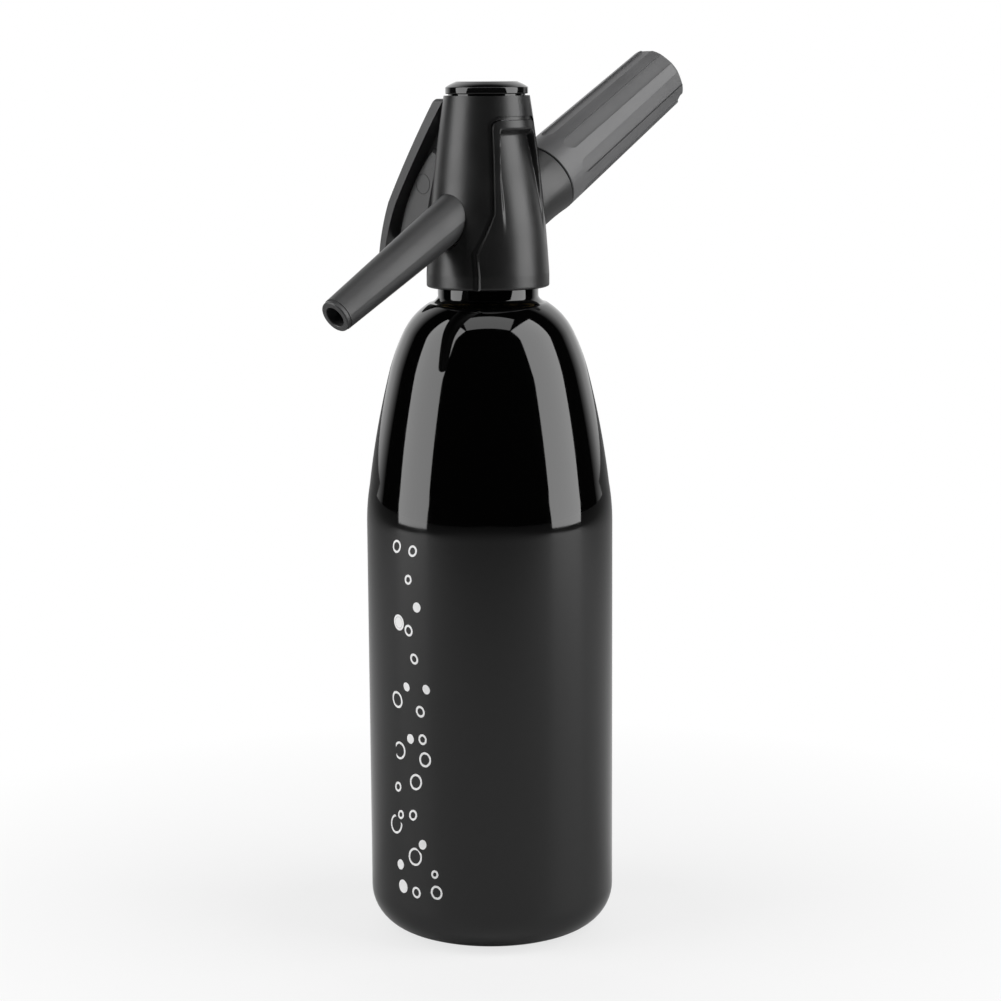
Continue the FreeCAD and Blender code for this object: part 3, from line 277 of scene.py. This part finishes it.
@dataclass(frozen=True)
class TurnedMetal:
    """Metal with fine turning marks round Z."""

    name: str
    colour: tuple[float, float, float, float]
    roughness: float

    def make(self) -> bpy.types.Material:
        """Build the material."""
        shader = Shader(self.name)
        marks = shader.noise(900.0, 2.0, (0.15, 0.15, 1.0))
        rough = shader.ramp(marks, self.roughness - 0.06, self.roughness + 0.08, 0.3, 0.7)
        shader.set(Base_Color=self.colour, Roughness=rough, Normal=shader.bump(marks, 0.25, 0.00002))
        shader.surface.inputs["Metallic"].default_value = 1.0
        return shader.material


@dataclass(frozen=True)
class SoftRubber:
    """Dull moulded rubber or soft tube."""

    name: str
    colour: tuple[float, float, float, float]
    roughness: float

    def make(self) -> bpy.types.Material:
        """Build the material."""
        shader = Shader(self.name)
        cloud = shader.noise(240.0, 3.0)
        rough = shader.ramp(cloud, self.roughness - 0.05, self.roughness + 0.08, 0.3, 0.7)
        shader.set(Base_Color=self.colour, Roughness=rough, Normal=shader.bump(cloud, 0.2, 0.00005))
        return shader.material


@dataclass(frozen=True)
class PolishedBlack:
    """Deep polished black with a faint orange-peel in its surface."""

    name: str
    roughness: float = 0.06
    shade: float = 0.003

    def make(self) -> bpy.types.Material:
        """Build the material."""
        shader = Shader(self.name)
        peel = shader.noise(320.0, 2.0)
        rough = shader.ramp(peel, self.roughness - 0.02, self.roughness + 0.03, 0.35, 0.65)
        shader.set(Base_Color=grey(self.shade), Roughness=rough,
                   Normal=shader.bump(peel, 0.05, 0.00003))
        return shader.material


@dataclass(frozen=True)
class PrintedPaint:
    """Gloss black paint, softer on the straight side, with a pale print of rising bubbles.

    The print is rings and dots in a tall band on the side under the nozzle. They come from a
    Voronoi pattern on arc length and height; each cell holds one ring whose radius is the
    cell's own random number.

    Attributes:
        name: material name.
        radius: radius of the straight side.
        change_height: height below which the gloss is softer.
        print_angle: middle of the print, round from +X.
        print_width: width of the band at its foot.
        print_low: height of the band's foot.
        print_high: height of the band's top.
        cell: width of a Voronoi cell.
        cell_stretch: a cell's height over its width.
        sway: how far the band swings sideways.
        sway_rate: radians of swing per metre of height.
    """

    name: str
    radius: float
    change_height: float
    print_angle: float
    print_width: float
    print_low: float
    print_high: float
    cell: float = 0.0088
    cell_stretch: float = 1.1
    sway: float = 0.0022
    sway_rate: float = 62.0

    def make(self) -> bpy.types.Material:
        """Build the material."""
        shader = Shader(self.name)
        where = shader.node("ShaderNodeSeparateXYZ", None, Vector=shader.out(shader.place(), "Object"))
        x, y, z = (shader.out(where, i) for i in range(3))
        # Arc length round the side from the middle of the print.
        turn = math.cos(self.print_angle), math.sin(self.print_angle)
        along = x * turn[0] + y * turn[1]
        across = y * turn[0] - x * turn[1]
        arc = across.call("ARCTAN2", along) * self.radius
        ink = self.ink(shader, arc, z)

        peel = shader.noise(260.0, 2.0)
        haze = shader.noise(9.0, 5.0)
        edge = z + shader.ramp(haze, -0.006, 0.006, 0.3, 0.7)
        softer = shader.ramp(edge, 1.0, 0.0, self.change_height - 0.006, self.change_height + 0.008)
        rough = softer * 0.035 + 0.045
        rough = rough + shader.ramp(peel, -0.01, 0.015, 0.3, 0.7)
        colour = shader.mix(softer, grey(0.0006), grey(0.0012))
        colour = shader.mix(ink, colour, (0.80, 0.80, 0.80, 1.0))
        rough = rough + ink * 0.12
        height = peel * 0.12 + ink * 1.0
        shader.set(Base_Color=colour, Roughness=rough, Normal=shader.bump(height, 0.12, 0.00004))
        return shader.material

    def ink(self, shader: Shader, arc: Socket, height: Socket) -> Socket:
        """Mask of the print: 1 in a ring or dot.

        Args:
            shader: the tree to add to.
            arc: arc length from the print's middle, in metres.
            height: height above the floor, in metres.

        Returns:
            The mask.
        """
        tall = self.cell * self.cell_stretch
        sway = (height * self.sway_rate).call("SINE") * self.sway
        spot = shader.node("ShaderNodeCombineXYZ", None, X=(arc + sway) / self.cell, Y=height / tall,
                           Z=0.0)
        bubbles = shader.node("ShaderNodeTexVoronoi", {"voronoi_dimensions": "2D", "feature": "F1"},
                              Vector=shader.out(spot), Scale=1.0, Randomness=0.7)
        distance = shader.out(bubbles, "Distance")
        pick = shader.node("ShaderNodeSeparateXYZ", None, Vector=shader.out(bubbles, "Color"))
        chance, size = shader.out(pick, 0), shader.out(pick, 1)
        radius = size * 0.24 + 0.10
        line = (distance - radius).call("ABSOLUTE") < 0.042
        dot = (distance < radius * 0.8) * (chance > 0.62)
        # The band is measured at the middle of each cell, so its own edge cuts no ring.
        # A large ring can still run into the next cell, and is cut there.
        home = shader.node("ShaderNodeSeparateXYZ", None, Vector=shader.out(bubbles, "Position"))
        home_height = shader.out(home, 1) * tall
        home_sway = (home_height * self.sway_rate).call("SINE") * self.sway
        home_arc = shader.out(home, 0) * self.cell - home_sway
        middle = (home_height - self.print_low) / (self.print_high - self.print_low)
        width = (1.0 - middle) * 0.35 + 0.65
        inside = home_arc.call("ABSOLUTE") < width * (self.print_width / 2)
        inside = inside * (home_height > self.print_low) * (home_height < self.print_high)
        return (line.call("MAXIMUM", dot) * inside).clamped()


def solid_of_revolution(name: str, profile: np.ndarray, segments: int) -> bpy.types.Object:
    """Turn a profile about Z: point (u, v) is profile[v] rotated by 2 pi u / segments.

    Args:
        name: object name.
        profile: rows of radius and height, in metres; ends on the axis close the piece.
        segments: steps round the axis.

    Returns:
        The object, with its place in its mesh.
    """
    turn = np.linspace(0.0, 2 * np.pi, segments, endpoint=False)
    radius, height = profile[:, 0], profile[:, 1]
    points = np.stack([np.outer(radius, np.cos(turn)), np.outer(radius, np.sin(turn)),
                       np.repeat(height[:, None], segments, axis=1)], axis=-1)
    return grid_surface(name, points, wrap_u=True)


def grid_surface(name: str, points: np.ndarray, wrap_u: bool = False) -> bpy.types.Object:
    """Put a grid of points into a mesh, quads between neighbours.

    Args:
        name: object name.
        points: rows by columns by 3.
        wrap_u: join the last column to the first.

    Returns:
        The object, smooth, with coincident points merged and faces pointing outwards.
    """
    rows, columns = points.shape[:2]
    index = np.arange(rows * columns).reshape(rows, columns)
    right = np.roll(index, -1, axis=1) if wrap_u else index[:, 1:]
    left = index if wrap_u else index[:, :-1]
    quads = np.stack([left[:-1], right[:-1], right[1:], left[1:]], axis=-1).reshape(-1, 4)
    mesh = bpy.data.meshes.new(name)
    mesh.from_pydata(points.reshape(-1, 3).tolist(), [], quads.tolist())
    made = bpy.data.objects.new(name, mesh)
    bpy.context.scene.collection.objects.link(made)
    tidy_mesh(made)
    return made


def tidy_mesh(made: bpy.types.Object) -> None:
    """Merge doubled points, drop flat faces, point faces outwards and shade smooth."""
    work = bmesh.new()
    work.from_mesh(made.data)
    bmesh.ops.remove_doubles(work, verts=work.verts, dist=1e-7)
    bmesh.ops.dissolve_degenerate(work, edges=work.edges, dist=1e-8)
    bmesh.ops.recalc_face_normals(work, faces=work.faces)
    work.to_mesh(made.data)
    work.free()
    made.data.shade_smooth()


def crease(piece: bpy.types.Object, angle: float) -> None:
    """Keep edges sharper than an angle crisp in a smooth mesh."""
    piece.data.set_sharp_from_angle(angle=angle)


def arc_points(start: tuple[float, float], end: tuple[float, float], radius: float,
               steps: int) -> np.ndarray:
    """Points of a circular arc between two points.

    Args:
        start: first point.
        end: last point.
        radius: positive bulges to the right of the way from start to end, negative to the left.
        steps: number of spans.

    Returns:
        Points after start, up to and with end.
    """
    a, b = np.array(start), np.array(end)
    chord = b - a
    half = np.linalg.norm(chord) / 2
    side = np.array([chord[1], -chord[0]]) / (2 * half) * np.sign(radius)
    centre = (a + b) / 2 - side * math.sqrt(max(radius * radius - half * half, 0.0))
    first = math.atan2(*(a - centre)[::-1])
    last = math.atan2(*(b - centre)[::-1])
    sweep = (last - first + math.pi) % (2 * math.pi) - math.pi
    angle = first + sweep * np.linspace(0, 1, steps + 1)[1:]
    return centre + abs(radius) * np.stack([np.cos(angle), np.sin(angle)], axis=1)


def outline(start: tuple[float, float], *legs: tuple) -> np.ndarray:
    """A profile from straight and round legs.

    Args:
        start: first radius and height, in millimetres.
        legs: each (radius, height) or (radius, height, arc radius, steps), in millimetres.

    Returns:
        Rows of radius and height, in metres.
    """
    points = [np.array([start])]
    here = start
    for leg in legs:
        if len(leg) == 2:
            points.append(np.array([leg]))
        else:
            points.append(arc_points(here, leg[:2], leg[2], leg[3]))
        here = (leg[0], leg[1])
    return np.concatenate(points) * MM


@dataclass
class Bottle:
    """The painted bottle: a turned skin with the shoulder's four arcs, hollow, open at its rim."""

    radius: float = 45.0
    segments: int = 192

    def build(self) -> bpy.types.Object:
        """Turn the skin, outside from foot to rim, then inside back down to the dome."""
        dome = (27.7 ** 2 + 36.0) / 12.0
        profile = outline(
            (0.0, 6.0), (27.7, 0.0, -dome, 12), (30.3, 0.0), (45.0, 14.7, 14.7, 14), (45.0, 60.0),
            (45.0, 110.0), (45.0, 152.0), (43.8, 166.0, 82.0, 8), (35.8, 208.5, 330.0, 14),
            (31.0, 221.3, 85.0, 8), (21.4, 232.2, 25.0, 12), (18.2, 234.5, -4.0, 8), (18.2, 238.6), (17.8, 239.0),
            (17.2, 239.0), (17.2, 251.6), (16.8, 252.0), (16.0, 252.0), (16.0, 234.5),
            (20.4, 231.2, 5.2, 8), (29.8, 220.9, -23.8, 10), (34.6, 208.5, -83.8, 6), (42.6, 166.0, -328.8, 10),
            (43.8, 152.0, -80.8, 6), (43.8, 14.7), (30.3, 1.2, -13.5, 10), (27.7, 1.2), (0.0, 7.2, dome, 8))
        skin = solid_of_revolution("bottle_skin", profile, self.segments)
        crease(skin, math.radians(35))
        return skin

    def dress(self, skin: bpy.types.Object) -> None:
        """Paint it and set it on its body."""
        paint = PrintedPaint("bottle_paint", self.radius * MM, change_height=0.150,
                             print_angle=math.radians(-84), print_width=0.021, print_low=0.016,
                             print_high=0.149)
        skin.data.materials.append(paint.make())
        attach(skin, "bottle")
        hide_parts("bottle")
        log.info("painted %s", skin.name)


@dataclass
class ThumbPanel:
    """Moulded panel let into the head, with a long thumb scoop under a sloping ledge.

    Its skin is x = sqrt(R(z)^2 - y^2) - scoop(y, z): R is the casing's bowed side, and scoop is
    a depth along the height times a smooth step in from the scoop's two flanks. It stands in
    for the solid thumb_panel, whose scoop is shorter and narrower. Sizes are in millimetres.
    """

    bottom: float = 238.0
    top: float = 297.6
    corner: float = 2.6
    skirt_radius: float = 22.2
    skirt_top: float = 243.0
    crest_radius: float = 15.45
    crest: float = 306.2
    bow: float = 690.0
    wall: float = 2.0
    edge: float = 0.9
    depth: float = 3.3
    ledge_top: float = 295.2
    ledge_foot: float = 292.2
    scoop_foot: float = 257.0
    flank: float = 1.5
    rows: int = 240
    columns: int = 120

    def side_radius(self, height: np.ndarray) -> np.ndarray:
        """Radius of the casing's side: straight band, then an arc, rounded at its lower edge."""
        low = np.array([self.skirt_radius, self.skirt_top])
        high = np.array([self.crest_radius, self.crest])
        chord = high - low
        half = np.linalg.norm(chord) / 2
        inward = np.array([-chord[1], chord[0]]) / (2 * half)
        centre = (low + high) / 2 + inward * math.sqrt(self.bow ** 2 - half ** 2)
        bowed = centre[0] + np.sqrt(self.bow ** 2 - (height - centre[1]) ** 2)
        side = np.where(height < self.skirt_top, self.skirt_radius, bowed)
        lift = np.clip(self.edge - (height - self.bottom), 0.0, self.edge)
        return side - (self.edge - np.sqrt(self.edge ** 2 - lift ** 2))

    def half_width(self, height: np.ndarray) -> np.ndarray:
        """Half the panel's width at a height, with its rounded top corners."""
        wide = np.interp(height, [self.bottom, 251.0, 265.0, self.top], [17.4, 17.4, 12.3, 10.1])
        over = np.clip(height - (self.top - self.corner), 0.0, self.corner)
        return wide - self.corner + np.sqrt(self.corner ** 2 - over ** 2)

    def scoop(self, across: np.ndarray, height: np.ndarray) -> np.ndarray:
        """Depth of the scoop: smooth steps of height and of the way in from its flanks."""
        ledge = np.clip((self.ledge_top - height) / (self.ledge_top - self.ledge_foot), 0.0, 1.0)
        run = np.clip((height - self.scoop_foot) / (self.ledge_foot - self.scoop_foot), 0.0, 1.0)
        flank = np.interp(height, [self.scoop_foot, 278.0, self.ledge_top], [10.6, 9.9, 8.3])
        into = np.clip((flank - np.abs(across)) / self.flank, 0.0, 1.0)
        smooth = [part * part * (3 - 2 * part) for part in (ledge, into)]
        return self.depth * smooth[0] * smooth[1] * run ** 1.25

    def build(self) -> bpy.types.Object:
        """Wrap the skin round into a closed shell: front, then back, with both ends drawn shut."""
        height = np.linspace(self.top, self.bottom, self.rows)[:, None]
        share = np.linspace(-1.0, 1.0, self.columns)[None, :]
        across = share * self.half_width(height)
        flush = np.sqrt(self.side_radius(height) ** 2 - across ** 2)
        skin = flush - self.scoop(across, height)
        rise = np.broadcast_to(height, across.shape)
        front = np.stack([skin, across, rise], axis=-1)
        back = np.stack([skin - self.wall, across, rise], axis=-1)
        middle = (front + back) / 2
        body = np.concatenate([front, back[:, ::-1]], axis=1)
        shut = np.concatenate([middle, middle[:, ::-1]], axis=1)
        closed = np.concatenate([shut[:1], body, shut[-1:]])
        panel = grid_surface("panel_skin", closed * MM, wrap_u=True)
        crease(panel, math.radians(38))
        return panel

    def dress(self, panel: bpy.types.Object, finish: bpy.types.Material) -> None:
        """Give it the casing's finish and set it on the head."""
        panel.data.materials.append(finish)
        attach(panel, "head")
        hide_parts("thumb_panel")
        log.info("dressed %s", panel.name)


@dataclass
class PinMark:
    """Thin line round each end of the cross pin, on the sides of the lever's thick web.

    Sizes are in millimetres. The rings are decoration, and stand for no solid.
    """

    reach: float = 29.5
    level: float = 274.0
    radius: float = 3.6
    side: float = 4.0
    line: float = 0.13

    def build(self) -> list[bpy.types.Object]:
        """Two rings, on the planes y = -side and y = +side.

        Each is a small circle of radius line carried round a circle of the pin's radius.
        """
        turn = np.linspace(0.0, 2 * np.pi, 96, endpoint=False)[None, :]
        roll = np.linspace(0.0, 2 * np.pi, 9)[:, None]
        reach = self.radius + self.line * np.cos(roll)
        rings = []
        for side in (-self.side, self.side):
            ring = np.stack([-self.reach + reach * np.cos(turn),
                             side + self.line * np.sin(roll) * np.ones_like(turn),
                             self.level + reach * np.sin(turn)], axis=-1)
            name = "pin_mark_near" if side < 0 else "pin_mark_far"
            rings.append(grid_surface(name, ring * MM, wrap_u=True))
        return rings

    def dress(self, rings: list[bpy.types.Object], finish: bpy.types.Material) -> None:
        """Darken them and set them on the lever."""
        for ring in rings:
            ring.data.materials.append(finish)
            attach(ring, "lever")
            log.info("marked %s", ring.name)


@dataclass
class Cap:
    """Polished cap over the head: a band, a bowed bevel and a faintly domed face."""

    base: float = 306.8
    band_radius: float = 14.85
    segments: int = 160

    def build(self) -> bpy.types.Object:
        """Turn the cap about Z, with the neck that hides the screw under it."""
        low, wide = self.base, self.band_radius
        profile = outline(
            (0.0, low + 0.2), (13.3, low + 0.2), (13.3, low - 0.6), (13.9, low - 0.6), (13.9, low),
            (wide - 0.4, low), (wide, low + 0.4, 0.4, 5), (wide, low + 2.2),
            (wide - 0.3, low + 2.55, 0.5, 4), (11.6, low + 4.1, 14.0, 10), (10.8, low + 4.4, 2.6, 4),
            (5.0, low + 4.48), (0.0, low + 4.5))
        cap = solid_of_revolution("cap_shell", profile, self.segments)
        crease(cap, math.radians(40))
        return cap

    def dress(self, cap: bpy.types.Object, finish: bpy.types.Material) -> None:
        """Polish it and set it on the head."""
        cap.data.materials.append(finish)
        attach(cap, "head")
        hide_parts("top_cap")
        log.info("polished %s", cap.name)


@dataclass
class Studio:
    """Pale floor, white surroundings and tall soft lights round the camera's side."""

    azimuth: float = 45.0
    distance: float = 0.95
    height: float = 0.320
    pitch: float = math.radians(9.6)
    roll: float = math.radians(0.37)
    side_step: float = 0.004
    focal: float = 2627.0 / 1001.0 * 36.0
    near_white: float = 0.75

    def basis(self) -> tuple[Vector, Vector]:
        """Horizontal directions from the object to the camera, and to the camera's right."""
        turn = math.radians(self.azimuth)
        return Vector((math.sin(turn), -math.cos(turn), 0)), Vector((math.cos(turn), math.sin(turn), 0))

    def camera(self) -> None:
        """The photograph's viewpoint."""
        back, right = self.basis()
        forward = -back * math.cos(self.pitch) + Vector((0, 0, -math.sin(self.pitch)))
        up = right.cross(forward)
        lean_up = up * math.cos(self.roll) + right * math.sin(self.roll)
        lean_right = forward.cross(lean_up)
        data = bpy.data.cameras.new("camera")
        data.sensor_width = 36.0
        data.lens = self.focal
        made = bpy.data.objects.new("camera", data)
        turn = Matrix((lean_right, lean_up, -forward)).transposed().to_4x4()
        made.matrix_world = Matrix.Translation(back * self.distance + right * self.side_step
                                               + Vector((0, 0, self.height))) @ turn
        bpy.context.scene.collection.objects.link(made)
        bpy.context.scene.camera = made

    def softbox(self, name: str, out: float, side: float, height: float, size: tuple[float, float],
                power: float, aim: float = 0.16) -> None:
        """An area light, placed by its distance towards the camera and to the camera's right."""
        back, right = self.basis()
        data = bpy.data.lights.new(name, "AREA")
        data.shape = "RECTANGLE"
        data.size, data.size_y = size
        data.energy = power
        made = bpy.data.objects.new(name, data)
        spot = back * out + right * side + Vector((0, 0, height))
        made.matrix_world = Matrix.Translation(spot) @ (
            spot - Vector((0, 0, aim))).to_track_quat("Z", "Y").to_matrix().to_4x4()
        bpy.context.scene.collection.objects.link(made)

    def floor(self) -> None:
        """A wide pale floor, white where the camera sees it, and shadowed by the object."""
        span = np.linspace(-3.0, 3.0, 13)
        x, y = np.meshgrid(span, span)
        made = grid_surface("floor", np.stack([x, y, np.zeros_like(x)], axis=-1))
        shader = Shader("floor_white")
        speck = shader.noise(40.0, 2.0)
        tone = shader.mix(speck, (0.52, 0.52, 0.52, 1), (0.55, 0.55, 0.55, 1))
        shader.set(Base_Color=tone, Roughness=0.6)
        shader.surface.inputs["Specular IOR Level"].default_value = 0.2
        self.fade_to_white(shader)
        made.data.materials.append(shader.material)

    def fade_to_white(self, shader: Shader) -> None:
        """White far from the object where the camera sees the floor, its own shade near it."""
        far = shader.node("ShaderNodeVectorMath", {"operation": "LENGTH"},
                          Vector=shader.out(shader.place(), "Object"))
        spread = shader.ramp(shader.out(far, "Value"), self.near_white, 1.0, 0.08, 0.30)
        seen = shader.out(shader.node("ShaderNodeLightPath"), "Is Camera Ray")
        glow = shader.node("ShaderNodeEmission", None, Color=(1, 1, 1, 1), Strength=1.0)
        mix = shader.node("ShaderNodeMixShader")
        for index, value in enumerate((spread * seen, shader.out(shader.surface), shader.out(glow))):
            shader.feed(mix, index, value)
        shader.feed(shader.tree.nodes["Material Output"], 0, shader.out(mix))

    def world(self) -> None:
        """White to the camera, paler light for the object, dark behind the camera in its gloss."""
        world = bpy.data.worlds.new("studio")
        bpy.context.scene.world = world
        world.use_nodes = True
        graph = Graph(world.node_tree)
        graph.tree.nodes.clear()
        seen = graph.node("ShaderNodeBackground", None, Color=(1, 1, 1, 1), Strength=1.0)
        # The room: bright behind the object, dark where the camera stands.
        back, _ = self.basis()
        direction = graph.out(graph.node("ShaderNodeTexCoord"), "Generated")
        toward = graph.node("ShaderNodeVectorMath", {"operation": "DOT_PRODUCT"})
        graph.feed(toward, 0, direction)
        graph.feed(toward, 1, back)
        shade = graph.node("ShaderNodeMapRange", None, Value=graph.out(toward, "Value"), From_Min=-0.75,
                           From_Max=-0.50, To_Min=1.0, To_Max=0.004)
        lit = graph.node("ShaderNodeBackground", None, Color=(1, 1, 1, 1),
                         Strength=graph.out(shade, "Result"))
        camera_ray = graph.out(graph.node("ShaderNodeLightPath"), "Is Camera Ray")
        mix = graph.node("ShaderNodeMixShader")
        for index, value in enumerate((camera_ray, graph.out(lit), graph.out(seen))):
            graph.feed(mix, index, value)
        graph.feed(graph.node("ShaderNodeOutputWorld"), 0, graph.out(mix))

    def build(self) -> None:
        """Set camera, floor, world and lights."""
        self.camera()
        self.floor()
        self.world()
        self.softbox("left_softbox", 0.213, -0.823, 0.60, (0.66, 1.25), 10.8)
        self.softbox("right_softbox", 0.213, 0.823, 0.60, (0.68, 1.25), 12.2)
        self.softbox("top_light", 0.25, 0.0, 1.25, (0.9, 0.45), 2.6)
        bpy.context.scene.view_settings.view_transform = "Standard"


class Finish(Enum):
    """The finishes that carried-over pieces take, by the record's slot."""

    CASING = MouldedPlastic("casing_plastic", 0.006, 0.34)
    LEVER = MouldedPlastic("lever_plastic", 0.026, 0.42)
    HOLDER = MouldedPlastic("holder_plastic", 0.085, 0.42)
    CAP = PolishedBlack("cap_gloss")
    RUBBER = SoftRubber("rubber", (0.015, 0.015, 0.016, 1), 0.6)
    TUBE = SoftRubber("tube_plastic", (0.72, 0.74, 0.71, 1), 0.35)
    BRASS = TurnedMetal("brass", (0.70, 0.52, 0.24, 1), 0.28)
    STEEL = TurnedMetal("steel", (0.56, 0.56, 0.57, 1), 0.26)
    CAST = TurnedMetal("cast_metal", (0.60, 0.60, 0.61, 1), 0.42)


@dataclass
class CarriedPieces:
    """The rigid pieces whose shape comes from the frame, dressed in their finish."""

    slots: dict

    def dress(self, nodes: dict, skip: set, made: dict) -> None:
        """Give each node the finish of its slot.

        Args:
            nodes: node objects by name.
            skip: nodes that another piece stands for.
            made: materials by slot.
        """
        for name, piece in nodes.items():
            if name in skip:
                continue
            piece.data.materials.clear()
            piece.data.materials.append(made[self.slots[name]])
            log.info("dressed %s in %s", name, self.slots[name])


def main() -> None:
    """Load the frame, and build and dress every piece."""
    logging.basicConfig(level=logging.INFO, format="%(name)s: %(message)s")
    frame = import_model()
    slots = {part["node"]: part["material_slot"] for part in frame["record"]["subparts"]}
    bottle = Bottle()
    bottle.dress(bottle.build())
    finishes = {finish.value.name: finish.value.make() for finish in Finish}
    cap = Cap()
    cap.dress(cap.build(), finishes["cap_gloss"])
    panel = ThumbPanel()
    panel.dress(panel.build(), finishes["casing_plastic"])
    mark = PinMark()
    mark.dress(mark.build(), finishes["rubber"])
    CarriedPieces(slots).dress(frame["nodes"], {"bottle", "top_cap", "thumb_panel"}, finishes)
    Studio().build()


if __name__ == "__main__":
    main()
